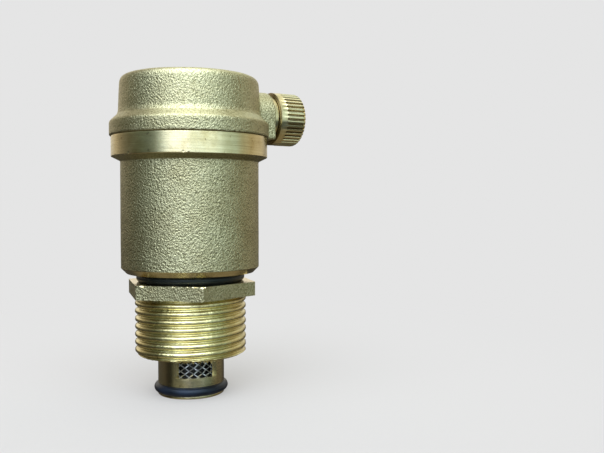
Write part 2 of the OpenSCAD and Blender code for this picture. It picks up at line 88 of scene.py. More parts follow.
# Sizes inside those boxes, as the parts are designed: the nipple and its plunger
inlet_r = 16.625
inlet_pitch = 2.309
inlet_depth = 0.6403 * inlet_pitch
hexagon_across_flats = 35.0
hexagon_turn = math.radians(17)
lip_t = 2.3
plunger_r = 9.9
plunger_bore_r = 8.6
plunger_head_z = -10.5
ring_groove_r = 8.38
window_turns = (-102.4, 77.6)
window_low_z, window_high_z = -23.7, -15.5
window_cutter_r = 9.5
window_cutter_x = 15.1

# The body
spigot_r = 13.22
spigot_bore_r = 10.4
spigot_pitch = 1.814
body_r = 20.57
body_chamfer = 1.6
body_floor_t = 3
chamber_r = 18.4
rim_h = 6
rim_slope_h = 1.3
rim_bore_r = 20.45
rim_bore_h = 5.5

# The cover and its outlet
cover_z = split_z + 0.05
cover_top_z = pads_top_z - 0.5
cover_spigot_r = 20.39
cover_spigot_h = 4.5
cover_bore_r = 18.2
cover_top_t = 3
PADS = 9
PADS_IN_ARC = 5
flange_h = 4.1
shoulder_h = 2.65
side_r = 21.1
crown_r = 20.6
boss_r = 7.8
boss_z = outlet_z + 0.3
boss_reach = 25.4
collar_r = 7.28
collar_end_x = cap_x - 0.2
stub_r = 6.55
stub_neck_r = 5.9
stub_neck_len = 1.2
stub_pitch = 1.337
jet_bore_r = 3.0

# The outlet cap
band_end_x = cap_x + 2.4
cap_chamfer = 1.0
cap_bore_r = 6.61
cap_cavity_x = 34.76
vent_hole_r = 1
vent_hole_x = cap_end_x - 4.1
vent_hole_turn = math.radians(-50)

# Heading of the main view, from the camera to the vertical axis
outlet_turn = math.radians(22.8)
to_axis = math.pi / 2 - outlet_turn


# ---------------------------------------------------------------- shape helpers
def rounded(points, steps=4):
    """Closed profile with its corners rounded. Each point is (r, h, corner radius)."""
    outline = []
    for i, (r, h, radius) in enumerate(points):
        corner = Vector((r, h))
        back = Vector(points[i - 1][:2]) - corner
        ahead = Vector(points[(i + 1) % len(points)][:2]) - corner
        if radius <= 0:
            outline.append((r, h))
            continue
        reach = radius / math.tan(back.angle(ahead) / 2)
        reach = min(reach, 0.45 * back.length, 0.45 * ahead.length)
        start = corner + back.normalized() * reach
        end = corner + ahead.normalized() * reach
        for k in range(steps + 1):
            t = k / steps
            p = start * (1 - t) ** 2 + corner * (2 * t * (1 - t)) + end * t ** 2
            outline.append((p.x, p.y))
    return outline


def refined(outline, step):
    """The same closed outline with no stretch longer than step."""
    fine = []
    for i, (r, h) in enumerate(outline):
        next_r, next_h = outline[(i + 1) % len(outline)]
        parts = max(1, math.ceil(math.hypot(next_r - r, next_h - h) / step))
        for k in range(parts):
            fine.append((r + (next_r - r) * k / parts, h + (next_h - h) * k / parts))
    return fine


def turned(outline, segments):
    """Vertices, in mm, and faces of a closed outline turned about the vertical axis."""
    count = len(outline)
    verts = []
    for s in range(segments):
        c, d = math.cos(TURN * s / segments), math.sin(TURN * s / segments)
        verts += [(r * c, r * d, h) for r, h in outline]
    return verts, ring_faces(segments, count)


def ring_faces(segments, count):
    """Faces between closed rings of count vertices each, where the last ring meets the first."""
    faces = []
    for s in range(segments):
        here, there = s * count, (s + 1) % segments * count
        for j in range(count):
            k = (j + 1) % count
            faces.append((here + j, there + j, there + k, here + k))
    return faces


def threaded(low_z, high_z, radius_at, pitch, segments, bore_r, per_pitch=24, start=0.0, burr_at=None):
    """Closed sleeve with a right-handed thread outside and a plain bore inside.

    radius_at(phase, angle, z) gives the outside radius, where phase goes from 0 to 1 over one pitch.
    The rows follow the helix and stop on the end planes. burr_at(angle) lowers the lower end.
    """
    rows = math.ceil((high_z - low_z + pitch) / pitch * per_pitch)
    verts = []
    for s in range(segments):
        climb = pitch * s / segments
        angle = TURN * s / segments
        c, d = math.cos(angle), math.sin(angle)
        burr = burr_at(angle) if burr_at else 0.0
        for j in range(rows + 1):
            z = min(high_z, max(low_z, high_z - j * pitch / per_pitch + climb))
            r = radius_at(((high_z - z + climb) / pitch + start) % 1, angle, z)
            verts.append((r * c, r * d, z - burr if z == low_z else z))
        verts.append((bore_r * c, bore_r * d, low_z))
        verts.append((bore_r * c, bore_r * d, high_z))
    width = rows + 3
    faces = []
    for s in range(segments):
        wrap = per_pitch if s == segments - 1 else 0
        here, there = s * width, (s + 1) % segments * width
        for j in range(rows):
            low = max(0, j - wrap)
            high = max(0, j + 1 - wrap)
            faces.append((here + j, here + j + 1, there + high, there + low))
        bottom = there + max(0, rows - wrap)
        faces.append((here + rows, here + rows + 1, there + rows + 1, bottom))
        faces.append((here + rows + 1, here + rows + 2, there + rows + 2, there + rows + 1))
        faces.append((here + rows + 2, here, there, there + rows + 2))
    return verts, faces


def thread_radius(major_r, depth, fullness=1.8):
    """Radius over one pitch of a rounded thread, from the middle of one crest to the next."""
    def radius(phase):
        return major_r - depth * (0.5 - 0.5 * math.cos(TURN * phase)) ** fullness
    return radius


def place(verts, matrix):
    """The vertices moved by a matrix."""
    return [tuple(matrix @ Vector(v)) for v in verts]


def prism(outline, low, high, to_place=None):
    """Closed prism over a flat outline of (x, y) points."""
    count = len(outline)
    verts = [(x, y, h) for h in (low, high) for x, y in outline]
    faces = [tuple(range(count)), tuple(range(count, 2 * count))]
    faces += [(i, (i + 1) % count, count + (i + 1) % count, count + i) for i in range(count)]
    return (verts if to_place is None else place(verts, to_place)), faces


def circle_points(r, count, cx=0.0, cy=0.0, start=0.0, sweep=TURN):
    """Points of a whole circle, or of an arc with both its ends, as (x, y)."""
    last = count if sweep == TURN else count - 1
    return [(cx + r * math.cos(start + sweep * i / last), cy + r * math.sin(start + sweep * i / last))
            for i in range(count)]


# From the vertical axis to the axis of the outlet
TO_OUTLET = Matrix.Translation((0, 0, outlet_z)) @ Matrix.Rotation(math.pi / 2, 4, "Y")


def piece(name, shape, materials, body, replaced, sharp=35):
    """New object from vertices in mm, riding on a body in place of CAD nodes."""
    obj = new_object(name, shape)
    smooth(obj, sharp)
    for material in materials:
        obj.data.materials.append(material)
    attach(obj, body)
    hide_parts(*replaced)
    return obj


def new_object(name, shape):
    """Object from vertices in mm and faces, with what coincides merged and the faces turned outwards."""
    verts, faces = shape
    mesh = bpy.data.meshes.new(name)
    mesh.from_pydata([(x * MM, y * MM, z * MM) for x, y, z in verts], [], faces)
    obj = bpy.data.objects.new(name, mesh)
    bpy.context.scene.collection.objects.link(obj)
    bm = bmesh.new()
    bm.from_mesh(mesh)
    closest = 0.0005 * MM
    bmesh.ops.remove_doubles(bm, verts=bm.verts, dist=closest)
    bmesh.ops.dissolve_degenerate(bm, edges=bm.edges, dist=closest)
    bmesh.ops.recalc_face_normals(bm, faces=bm.faces)
    bm.to_mesh(mesh)
    bm.free()
    return obj


def smooth(obj, sharp):
    """Smooth shading, with the edges over sharp degrees left crisp."""
    obj.data.shade_smooth()
    obj.data.set_sharp_from_angle(angle=math.radians(sharp))


def apply_modifiers(obj):
    """Puts the result of the modifiers in place of the mesh."""
    depsgraph = bpy.context.evaluated_depsgraph_get()
    mesh = bpy.data.meshes.new_from_object(obj.evaluated_get(depsgraph))
    obj.modifiers.clear()
    obj.data = mesh


def boolean(obj, shape, operation):
    """Adds or cuts another closed shape, in mm."""
    tool = new_object("tool", shape)
    modifier = obj.modifiers.new("boolean", "BOOLEAN")
    modifier.operation = operation
    modifier.solver = "EXACT"
    modifier.object = tool
    apply_modifiers(obj)
    bpy.data.objects.remove(tool)


def displace(obj, height_at):
    """Moves each vertex along its normal by height_at(point in mm), in mm."""
    mesh = obj.data
    normals = [n.vector.copy() for n in mesh.vertex_normals]
    for vertex, normal in zip(mesh.vertices, normals):
        vertex.co += normal * (height_at(vertex.co / MM) * MM)
    mesh.update()


def paint_faces(obj, index_at):
    """Gives each face the material index that index_at(centre in mm, normal) returns."""
    for face in obj.data.polygons:
        face.material_index = index_at(face.center / MM, face.normal)


def between(value, low, high, fade):
    """1 inside low to high, and 0 outside, with a soft edge fade wide."""
    t = min((value - low) / fade, (high - value) / fade)
    return min(1, max(0, t))


def from_axis(p):
    """Distance of a point from the vertical axis."""
    return math.hypot(p.x, p.y)


def cast_skin(p):
    """Height of a sand-cast and shot-blasted skin, in mm."""
    waves = 0.035 * noise.noise(p / 6.0)
    lumps = 0.020 * noise.noise(Vector((p.x / 0.52, p.y / 0.52, p.z / 0.62)))
    return waves + lumps


# ---------------------------------------------------------------- materials
def new_material(name):
    """New material, with its node tree and its shader."""
    material = bpy.data.materials.new(name)
    material.use_nodes = True
    return material, material.node_tree, material.node_tree.nodes["Principled BSDF"]


def add_node(tree, kind, **values):
    """New node. Names of its inputs are written with _ for spaces."""
    node = tree.nodes.new(kind)
    for key, value in values.items():
        label = key.replace("_", " ")
        if label in node.inputs:
            node.inputs[label].default_value = value
        else:
            setattr(node, key, value)
    return node


def noise_at(tree, coordinates, scale, detail=3.0, roughness=0.6):
    """Noise, where the scale is in lumps to the metre."""
    node = add_node(tree, "ShaderNodeTexNoise", Scale=scale, Detail=detail, Roughness=roughness)
    tree.links.new(coordinates, node.inputs["Vector"])
    return node.outputs["Fac"]


def ramp(tree, factor, stops):
    """Colour ramp. Stops are (position, colour)."""
    node = tree.nodes.new("ShaderNodeValToRGB")
    elements = node.color_ramp.elements
    while len(elements) < len(stops):
        elements.new(0.5)
    for element, (position, colour) in zip(elements, stops):
        element.position = position
        element.color = (*colour, 1)
    tree.links.new(factor, node.inputs["Fac"])
    return node.outputs["Color"]


def spread(tree, factor, low, high):
    """Maps a factor of about 0.3 to 0.7 to the range low to high."""
    node = add_node(tree, "ShaderNodeMapRange")
    node.inputs["From Min"].default_value = 0.3
    node.inputs["From Max"].default_value = 0.7
    node.inputs["To Min"].default_value = low
    node.inputs["To Max"].default_value = high
    tree.links.new(factor, node.inputs["Value"])
    return node.outputs["Result"]


def mixed(tree, factor, first, second, blend="MIX"):
    """Two colours blended, by a float or by a socket."""
    node = tree.nodes.new("ShaderNodeMix")
    node.data_type = "RGBA"
    node.blend_type = blend
    if isinstance(factor, float):
        node.inputs[0].default_value = factor
    else:
        tree.links.new(factor, node.inputs[0])
    tree.links.new(first, node.inputs[6])
    tree.links.new(second, node.inputs[7])
    return node.outputs[2]


def bumped(tree, height, distance, normal=None, strength=None):
    """Normal raised by a height, where distance is in metres, over another normal if one is given."""
    node = add_node(tree, "ShaderNodeBump", Distance=distance)
    if strength is not None:
        tree.links.new(strength, node.inputs["Strength"])
    tree.links.new(height, node.inputs["Height"])
    if normal is not None:
        tree.links.new(normal, node.inputs["Normal"])
    return node.outputs["Normal"]


def object_coordinates(tree):
    """Position in the object's own frame, in metres."""
    return add_node(tree, "ShaderNodeTexCoord").outputs["Object"]


def cast_brass():
    """Shot-blasted casting: fine lumps, a little taller than wide, rubbed smooth where it faces up."""
    material, tree, shader = new_material("cast_brass")
    where = object_coordinates(tree)
    drawn_up = tree.nodes.new("ShaderNodeMapping")
    drawn_up.inputs["Scale"].default_value = (1.2, 1.2, 1)
    tree.links.new(where, drawn_up.inputs["Vector"])
    mottle = noise_at(tree, where, 90, 3)
    lumps = noise_at(tree, drawn_up.outputs["Vector"], 1850, 2, 0.5)
    specks = noise_at(tree, drawn_up.outputs["Vector"], 3900, 2)
    tone = ramp(tree, mottle, [
        (0.3, (0.45, 0.41, 0.25)), (0.55, (0.52, 0.49, 0.315)), (0.75, (0.57, 0.55, 0.36)),
    ])
    # Fine grain of the casting, darker where the lumps are low: painted shade in their hollows, following
    # the bump's height
    fine_grain = ramp(tree, lumps, [
        (0.37, (0.38, 0.38, 0.27)), (0.48, (0.86, 0.86, 0.79)), (0.60, (1.0, 1.0, 0.98)),
    ])
    tree.links.new(mixed(tree, 0.6, tone, fine_grain, "MULTIPLY"), shader.inputs["Base Color"])
    tree.links.new(spread(tree, specks, 0.44, 0.29), shader.inputs["Roughness"])
    shader.inputs["Metallic"].default_value = 1.0
    facing = tree.nodes.new("ShaderNodeSeparateXYZ")
    tree.links.new(add_node(tree, "ShaderNodeNewGeometry").outputs["Normal"], facing.inputs["Vector"])
    rubbed = add_node(tree, "ShaderNodeMapRange", interpolation_type="SMOOTHSTEP")
    rubbed.inputs["From Min"].default_value = 0.25
    rubbed.inputs["From Max"].default_value = 0.60
    rubbed.inputs["To Min"].default_value = 1.0
    rubbed.inputs["To Max"].default_value = 0.35
    tree.links.new(facing.outputs["Z"], rubbed.inputs["Value"])
    normal = bumped(tree, lumps, 0.00023, strength=rubbed.outputs["Result"])
    tree.links.new(bumped(tree, specks, 0.00008, normal, rubbed.outputs["Result"]), shader.inputs["Normal"])
    return material


def turned_brass(name, axis, polish, tones):
    """Brass with the fine rings that a lathe leaves round the axis, from a darker to a paler tone."""
    material, tree, shader = new_material(name)
    where = object_coordinates(tree)
    rings = add_node(tree, "ShaderNodeTexWave", Scale=1250.0, Distortion=0.6, Detail=2.0, Detail_Scale=0.4)
    rings.wave_type = "BANDS"
    rings.bands_direction = axis
    tree.links.new(where, rings.inputs["Vector"])
    stretch = tree.nodes.new("ShaderNodeMapping")
    stretch.inputs["Scale"].default_value = (60, 60, 2600) if axis == "Z" else (2600, 60, 60)
    tree.links.new(where, stretch.inputs["Vector"])
    streaks = noise_at(tree, stretch.outputs["Vector"], 1.0, 3)
    stains = noise_at(tree, where, 160, 4)
    tone = ramp(tree, stains, list(zip((0.28, 0.5, 0.75), tones)))
    lines = ramp(tree, streaks, [(0.3, (0.78, 0.76, 0.70)), (0.6, (1.0, 1.0, 1.0))])
    pits = noise_at(tree, where, 750, 1)
    specks = ramp(tree, pits, [(0.72, (1.0, 1.0, 1.0)), (0.78, (0.35, 0.30, 0.20))])
    lined = mixed(tree, 0.7, tone, lines, "MULTIPLY")
    tree.links.new(mixed(tree, 0.8, lined, specks, "MULTIPLY"), shader.inputs["Base Color"])
    tree.links.new(spread(tree, streaks, polish + 0.09, polish - 0.04), shader.inputs["Roughness"])
    shader.inputs["Metallic"].default_value = 1.0
    shader.inputs["Anisotropic"].default_value = 0.75
    shader.inputs["Anisotropic Rotation"].default_value = 0.25
    tangent = add_node(tree, "ShaderNodeTangent")
    tangent.direction_type = "RADIAL"
    tangent.axis = axis
    tree.links.new(tangent.outputs["Tangent"], shader.inputs["Tangent"])
    normal = bumped(tree, rings.outputs["Fac"], 0.000006)
    tree.links.new(bumped(tree, streaks, 0.000010, normal), shader.inputs["Normal"])
    return material


def rubber(name, tones, sheen):
    """Smooth rubber under a thin oily film, from a darker to a paler tone."""
    material, tree, shader = new_material(name)
    where = object_coordinates(tree)
    film = noise_at(tree, where, 260, 3)
    fine_grain = noise_at(tree, where, 2600, 2)
    colour = ramp(tree, film, list(zip((0.35, 0.7), tones)))
    tree.links.new(colour, shader.inputs["Base Color"])
    tree.links.new(spread(tree, film, 0.30, 0.46), shader.inputs["Roughness"])
    shader.inputs["Specular IOR Level"].default_value = 0.36
    shader.inputs["Specular Tint"].default_value = (*sheen, 1.0)
    tree.links.new(bumped(tree, fine_grain, 0.00001), shader.inputs["Normal"])
    return material


def bright_steel():
    """Drawn steel wire and strip."""
    material, tree, shader = new_material("bright_steel")
    where = object_coordinates(tree)
    wear = noise_at(tree, where, 900, 3)
    colour = ramp(tree, wear, [(0.3, (0.50, 0.50, 0.50)), (0.7, (0.80, 0.81, 0.82))])
    tree.links.new(colour, shader.inputs["Base Color"])
    tree.links.new(spread(tree, wear, 0.36, 0.2), shader.inputs["Roughness"])
    shader.inputs["Metallic"].default_value = 1.0
    tree.links.new(bumped(tree, wear, 0.00001), shader.inputs["Normal"])
    return material


def float_plastic():
    """Cream plastic that lets a little light in."""
    material, tree, shader = new_material("float_plastic")
    where = object_coordinates(tree)
    cloud = noise_at(tree, where, 70, 3)
    skin = noise_at(tree, where, 1800, 2)
    colour = ramp(tree, cloud, [(0.3, (0.70, 0.69, 0.62)), (0.7, (0.84, 0.84, 0.79))])
    tree.links.new(colour, shader.inputs["Base Color"])
    tree.links.new(spread(tree, cloud, 0.36, 0.5), shader.inputs["Roughness"])
    shader.inputs["Subsurface Weight"].default_value = 0.15
    shader.inputs["Subsurface Scale"].default_value = 0.001
    tree.links.new(bumped(tree, skin, 0.00001), shader.inputs["Normal"])
    return material


def black_plastic():
    """Matt black moulding."""
    material, tree, shader = new_material("black_plastic")
    where = object_coordinates(tree)
    cloud = noise_at(tree, where, 300, 3)
    colour = ramp(tree, cloud, [(0.3, (0.008, 0.008, 0.008)), (0.7, (0.018, 0.018, 0.017))])
    tree.links.new(colour, shader.inputs["Base Color"])
    tree.links.new(spread(tree, cloud, 0.45, 0.6), shader.inputs["Roughness"])
    tree.links.new(bumped(tree, noise_at(tree, where, 2200, 2), 0.00001), shader.inputs["Normal"])
    return material


PALE = ((0.60, 0.50, 0.26), (0.78, 0.69, 0.43), (0.85, 0.78, 0.52))
YELLOW = ((0.55, 0.47, 0.22), (0.75, 0.68, 0.37), (0.83, 0.79, 0.48))
# Dark brown brass tones: painted shade in the cap's grooves and on its inner chamfer by the collar, and the
# dark of the scratch on the cover
SHADE_AND_SOIL_TONES = ((0.20, 0.15, 0.07), (0.31, 0.25, 0.13), (0.41, 0.34, 0.19))
CAST = cast_brass()
TURNED = turned_brass("turned_brass", "Z", 0.17, PALE)
TURNED_YELLOW = turned_brass("turned_yellow_brass", "Z", 0.24, YELLOW)
TURNED_X = turned_brass("turned_brass_outlet", "X", 0.17, PALE)
SHADED_AND_SOILED_BRASS = turned_brass("shaded_and_soiled_brass", "X", 0.36, SHADE_AND_SOIL_TONES)
RUBBER = rubber("black_rubber", ((0.006, 0.008, 0.009), (0.011, 0.014, 0.016)), (0.82, 0.95, 0.90))
BLUE_RUBBER = rubber("blue_black_rubber", ((0.004, 0.006, 0.011), (0.008, 0.013, 0.028)), (0.70, 0.84, 1.0))
STEEL = bright_steel()
PLASTIC = float_plastic()
BLACK_PLASTIC = black_plastic()


# ---------------------------------------------------------------- pieces
def make_body():
    """Cast chamber with a turned rim, a turned lower edge and a plain bore."""
    slope_z = split_z - rim_h
    step_z = split_z - rim_bore_h
    floor_top_z = body_z + body_floor_t
    outline = rounded([
        (spigot_bore_r, body_z - 0.2, 0), (spigot_r - 1.3, body_z - 0.2, 0), (spigot_r - 1.3, body_z, 0),
        (body_r - body_chamfer, body_z, 0.15), (body_r, body_z + body_chamfer, 0.3),
        (body_r, slope_z - rim_slope_h, 0.5), (rim_r, slope_z, 0.12), (rim_r, split_z, 0.15),
        (rim_bore_r, split_z, 0.1), (rim_bore_r, step_z, 0), (chamber_r, step_z, 0),
        (chamber_r, floor_top_z, 1.5), (spigot_bore_r, floor_top_z, 0),
    ])
    shape = turned(refined(outline, 0.26), 2 * FINE)
    body = piece("body_casting", shape, [CAST, TURNED], "vent", ["vent_body"])

    def skin(p):
        outside = between(from_axis(p), body_r - 0.7, rim_r + 1, 0.3)
        cast = cast_skin(p) * outside * between(p.z, body_z + 1.7, slope_z - 0.25, 0.35)
        near_rim = between(from_axis(p), rim_r - 0.4, rim_r + 1, 0.2)
        at_edge = between(p.z, slope_z - 0.3, slope_z + 0.4, 0.15) * near_rim
        torn = max(0, noise.noise(Vector((math.atan2(p.y, p.x) * 30, 4.0, p.z * 0.7))) - 0.38)
        return cast - 1.6 * torn * at_edge

    displace(body, skin)
    cast_from, cast_to = body_z + 1.75, slope_z - 0.15

    def index_at(p, _):
        return 0 if cast_from < p.z < cast_to and from_axis(p) > 19.5 else 1

    paint_faces(body, index_at)
    depth = 1.16
    profile = thread_radius(spigot_r, depth)

    def radius_at(phase, _, z):
        lead_in = spigot_r - 0.8 + (z - spigot_end_z)
        run_out = spigot_r - depth + max(0, body_z - 1.2 - z) * 2
        return min(profile(phase), lead_in, run_out)

    sleeve = threaded(spigot_end_z, body_z + 0.1, radius_at, spigot_pitch, COARSE, spigot_bore_r)
    piece("spigot_thread", sleeve, [TURNED], "vent", ["vent_body"])


def make_cover():
    """Cast cover: a turned shell joined to the outlet boss and plain relief pads."""
    shoulder_z = cover_z + flange_h
    side_z = shoulder_z + shoulder_h
    spigot_z = split_z - cover_spigot_h
    ceiling_z = cover_top_z - cover_top_t
    outline = rounded([
        (cover_bore_r, spigot_z, 0), (cover_spigot_r, spigot_z, 0), (cover_spigot_r, cover_z, 0),
        (flange_r, cover_z, 0.25), (flange_r, shoulder_z, 1.1), (side_r + 0.35, side_z - 0.55, 0.9),
        (side_r, side_z + 0.6, 0.6), (crown_r, cover_top_z, 2.5), (0, cover_top_z, 0),
        (0, ceiling_z, 0), (cover_bore_r, ceiling_z, 1.0),
    ], 8)
    shape = turned(outline, COARSE)
    cover = piece("cover_casting", shape, [CAST, SHADED_AND_SOILED_BRASS], "vent", ["cover"])
    bevel = 0.3
    boss_start_x = 18.6
    section = circle_points(boss_r, 40, 0, boss_z, 0, math.pi)
    section += [(-boss_r, cover_z + bevel), (-boss_r + bevel, cover_z)]
    section += [(boss_r - bevel, cover_z), (boss_r, cover_z + bevel)]
    along_x = Matrix(((0, 0, 1, 0), (1, 0, 0, 0), (0, 1, 0, 0), (0, 0, 0, 1)))
    boolean(cover, prism(section, boss_start_x, boss_reach, along_x), "UNION")
    for index in range(PADS):
        boolean(cover, relief_pad(index), "UNION")
    boolean(cover, prism(circle_points(jet_bore_r, 32), 15, boss_reach + 1, TO_OUTLET), "DIFFERENCE")
    remesh = cover.modifiers.new("remesh", "REMESH")
    remesh.mode = "VOXEL"
    remesh.voxel_size = 0.24 * MM
    relax = cover.modifiers.new("relax", "SMOOTH")
    relax.factor = 0.5
    relax.iterations = 5
    apply_modifiers(cover)
    smooth(cover, 60)
    scratch_low, scratch_high = on_crown(-69.3, 60.6), on_crown(-71.6, 63.1)
    scratch = scratch_high - scratch_low
    scratch_depth, scratch_half_w = 0.12, 0.35

    def from_scratch(p):
        along = (p - scratch_low).dot(scratch) / scratch.length_squared
        return (p - scratch_low.lerp(scratch_high, min(1, max(0, along)))).length

    def skin(p):
        outside = between(from_axis(p), 19.6, 40, 0.3) if p.z < cover_top_z - 2 else 1.0
        height = cast_skin(p) * outside * between(p.z, cover_z + 0.1, cover_top_z + 5, 0.3)
        return height - scratch_depth * max(0, 1 - from_scratch(p) / scratch_half_w)

    displace(cover, skin)
    paint_faces(cover, lambda p, _: 1 if from_scratch(p) < 0.24 else 0)
    make_stub()


def on_crown(turn, z):
    """Point on the cover's side, by its turn in degrees and its height."""
    r = crown_r + 0.15
    return Vector((r * math.cos(math.radians(turn)), r * math.sin(math.radians(turn)), z))


def relief_pad(index):
    """Plain raised pad with rounded corners: five round an arc, then four in a row."""
    arc_r, row_y, row_step = 14.5, 6.6, 7
    if index < PADS_IN_ARC:
        turn = math.radians(-164 + 37 * index)
        around = Matrix.Rotation(turn, 4, "Z") @ Matrix.Translation((arc_r, 0, 0))
        to_place = around @ Matrix.Rotation(math.pi / 2, 4, "Z")
    else:
        to_place = Matrix.Translation(((index - 6.5) * row_step, row_y, 0))
    half_w, half_l, corner = 2.5, 1.7, 0.8
    outline = []
    for quarter, (sx, sy) in enumerate([(1, 1), (-1, 1), (-1, -1), (1, -1)]):
        centre = (sx * (half_w - corner), sy * (half_l - corner))
        outline += circle_points(corner, 6, *centre, quarter * math.pi / 2, math.pi / 2)
    return prism(outline, cover_top_z - 0.5, pads_top_z - 0.02, to_place)


def make_stub():
    """Turned outlet collar and the threaded stub that the cap screws on."""
    start_x = boss_reach - 0.4
    neck_end_x = collar_end_x + stub_neck_len
    collar = rounded([
        (jet_bore_r, start_x, 0), (collar_r, start_x, 0), (collar_r, collar_end_x, 0.2),
        (stub_neck_r, collar_end_x, 0.1), (stub_neck_r, neck_end_x, 0), (jet_bore_r, neck_end_x, 0),
    ])
    verts, faces = turned(collar, COARSE)
    piece("outlet_collar", (place(verts, TO_OUTLET), faces), [TURNED_X], "vent", ["cover"])
    profile = thread_radius(stub_r, 0.856)
    thread_x = collar_end_x + 1.1

    def radius_at(phase, _, x):
        return min(profile(phase), 5.7 + (x - thread_x) * 2, stub_r - 0.5 + (stub_end_x - x))

    verts, faces = threaded(thread_x, stub_end_x, radius_at, stub_pitch, COARSE, jet_bore_r)
    piece("outlet_thread", (place(verts, TO_OUTLET), faces), [TURNED_X], "vent", ["cover"])


def hexagon_radius(angle):
    """Radius of the sharp hexagon in a direction."""
    sector = (angle - hexagon_turn) % (TURN / 6) - TURN / 12
    return hexagon_across_flats / 2 / math.cos(sector)


# Centre and half width in degrees, and depth in mm
HEXAGON_NICKS = [
    (202.7, 2.4, 0.38), (257.0, 2.2, 0.42), (244.5, 0.7, 0.2), (249.5, 0.9, 0.22), (231.0, 0.7, 0.16),
]


def hexagon_nick(angle):
    """Size of the nick in the hexagon's upper edge, in mm."""
    nick = 0.45 * max(0, noise.noise(Vector((9 * angle, 5.0, 0))) - 0.2)
    for centre, half, size in HEXAGON_NICKS:
        away = abs(math.degrees(angle) % 360 - centre) / half
        nick = max(nick, size * (1 - away ** 3) if away < 1 else 0)
    return nick


def make_hexagon():
    """Cast hexagon with turned ends, whose upper edge is nicked here and there."""
    corner_r = hexagon_across_flats / math.sqrt(3) - 0.05
    bore_r = 13.4
    segments = 6 * 112
    levels = [hex_top_z * i / 16 for i in range(14)]
    levels += [hex_top_z - drop for drop in (0.6, 0.45, 0.3, 0.2, 0.1, 0.0)]
    verts = []
    for s in range(segments):
        angle = hexagon_turn + TURN * s / segments
        c, d = math.cos(angle), math.sin(angle)
        flat_r = min(hexagon_radius(angle), corner_r)
        nick = hexagon_nick(angle)
        ring = [(bore_r, 0)]
        for h in levels:
            where = Vector((flat_r * c, flat_r * d, h))
            skin = 0.6 * cast_skin(where) * between(h, 0.05, hex_top_z - 0.1, 0.3)
            ring.append((min(flat_r + skin, corner_r) - max(0, h - hex_top_z + nick), h))
        ring += [(16.4, hex_top_z), (bore_r + 0.7, hex_top_z), (bore_r, hex_top_z - 0.6)]
        verts += [(r * c, r * d, h) for r, h in ring]
    shape = (verts, ring_faces(segments, len(ring)))
    looks = [CAST, TURNED]
    hexagon = piece("nipple_hexagon", shape, looks, "nipple", ["hex_nipple"], 28)

    def index_at(p, normal):
        return 0 if abs(normal.z) < 0.25 and from_axis(p) > 17 else 1

    paint_faces(hexagon, index_at)


def make_nipple():
    """Hexagon over a helical pipe thread, with a stepped bore and a ragged turned end."""
    profile = thread_radius(inlet_r, 0.85)
    end_r = inlet_r - inlet_depth
    front = math.pi + to_axis

    def ragged(angle):
        away = (angle - front + math.pi) % TURN - math.pi
        share = 0.15 + 0.85 * between(away, math.radians(-14), math.radians(30), math.radians(5))
        teeth = noise.noise(Vector((angle * 24, 0, 0))) + 0.7 * noise.noise(Vector((angle * 66, 3, 0)))
        return max(0, teeth + 0.15) * share

    def radius_at(phase, angle, z):
        where = Vector((math.cos(angle) * inlet_r, math.sin(angle) * inlet_r, z))
        rough = 0.035 * noise.noise(where / 1.1) + 0.025 * noise.noise(where * 2.7)
        rise = z - inlet_end_z
        lip = (0.12 + 0.5 * ragged(angle)) * max(0, 1 - rise / 0.4)
        return min(profile(phase) + rough - 0.03, inlet_r, end_r + rise * 2.1 + 0.25 + lip)

    def burr_at(angle):
        return 1.15 * ragged(angle)

    sleeve_bore_r = 12.6
    thread_start = 0.55
    sleeve = threaded(
        inlet_end_z, 0.05, radius_at, inlet_pitch, 2 * FINE, sleeve_bore_r, 28, thread_start, burr_at,
    )
    piece("inlet_thread", sleeve, [TURNED_YELLOW], "nipple", ["hex_nipple"], 50)
    lip_r, lip_outer_r = plunger_r + 0.06, 12.8
    lip_top_z = inlet_end_z + lip_t
    lip = rounded([
        (lip_r, inlet_end_z, 0.2), (lip_outer_r, inlet_end_z, 0),
        (lip_outer_r, lip_top_z, 0), (lip_r, lip_top_z, 0.1),
    ])
    piece("nipple_lip", turned(lip, COARSE), [TURNED], "nipple", ["hex_nipple"])
    make_hexagon()


def make_rings():
    """The two rubber rings that show."""
    middle_z = (hex_top_z + body_z) / 2
    wire = (body_z - hex_top_z) / 2
    outline = []
    for i in range(32):
        a = TURN * (i + 0.5) / 32
        bulge = wire * math.cos(a) * abs(math.cos(a)) ** -0.15 * 0.98
        outline.append((body_ring_r - wire + bulge, middle_z + wire * math.sin(a)))
    piece("body_ring", turned(outline, COARSE), [RUBBER], "body_seal", ["body_oring"])
    wire = (plunger_ring_high_z - plunger_ring_low_z) / 2
    middle_z = (plunger_ring_high_z + plunger_ring_low_z) / 2
    flash_t = 0.02
    outline = []
    for i in range(40):
        a = TURN * i / 40
        flash = flash_t if i in (0, 20) else 0.0
        r = plunger_ring_r - flash_t - wire + (wire + flash) * math.cos(a)
        outline.append((r, middle_z + wire * math.sin(a)))
    piece("plunger_ring", turned(outline, FINE), [BLUE_RUBBER], "plunger", ["check_oring"])


def make_plunger():
    """Turned plunger with two milled windows."""
    groove_top = plunger_ring_high_z + 0.025
    groove_low = plunger_ring_low_z - 0.025
    outline = rounded([
        (0, plunger_end_z, 0), (plunger_r, plunger_end_z, 0.4), (plunger_r, groove_low, 0.06),
        (ring_groove_r, groove_low, 0), (ring_groove_r, groove_top, 0), (plunger_r, groove_top, 0.08),
        (plunger_r, plunger_head_z, 0), (plunger_head_r, plunger_head_z, 0.1),
        (plunger_head_r, plunger_top_z, 0.1), (plunger_bore_r, plunger_top_z, 0.1),
        (plunger_bore_r, mesh_low_z, 0), (0, mesh_low_z, 0),
    ])
    shape = turned(outline, FINE)
    plunger = piece("plunger_tube", shape, [TURNED], "plunger", ["check_plunger"])
    section = circle_points(window_cutter_r, COARSE, window_cutter_x)
    for turn in window_turns:
        to_window = Matrix.Rotation(math.radians(turn), 4, "Z")
        boolean(plunger, prism(section, window_low_z, window_high_z, to_window), "DIFFERENCE")
    smooth(plunger, 30)


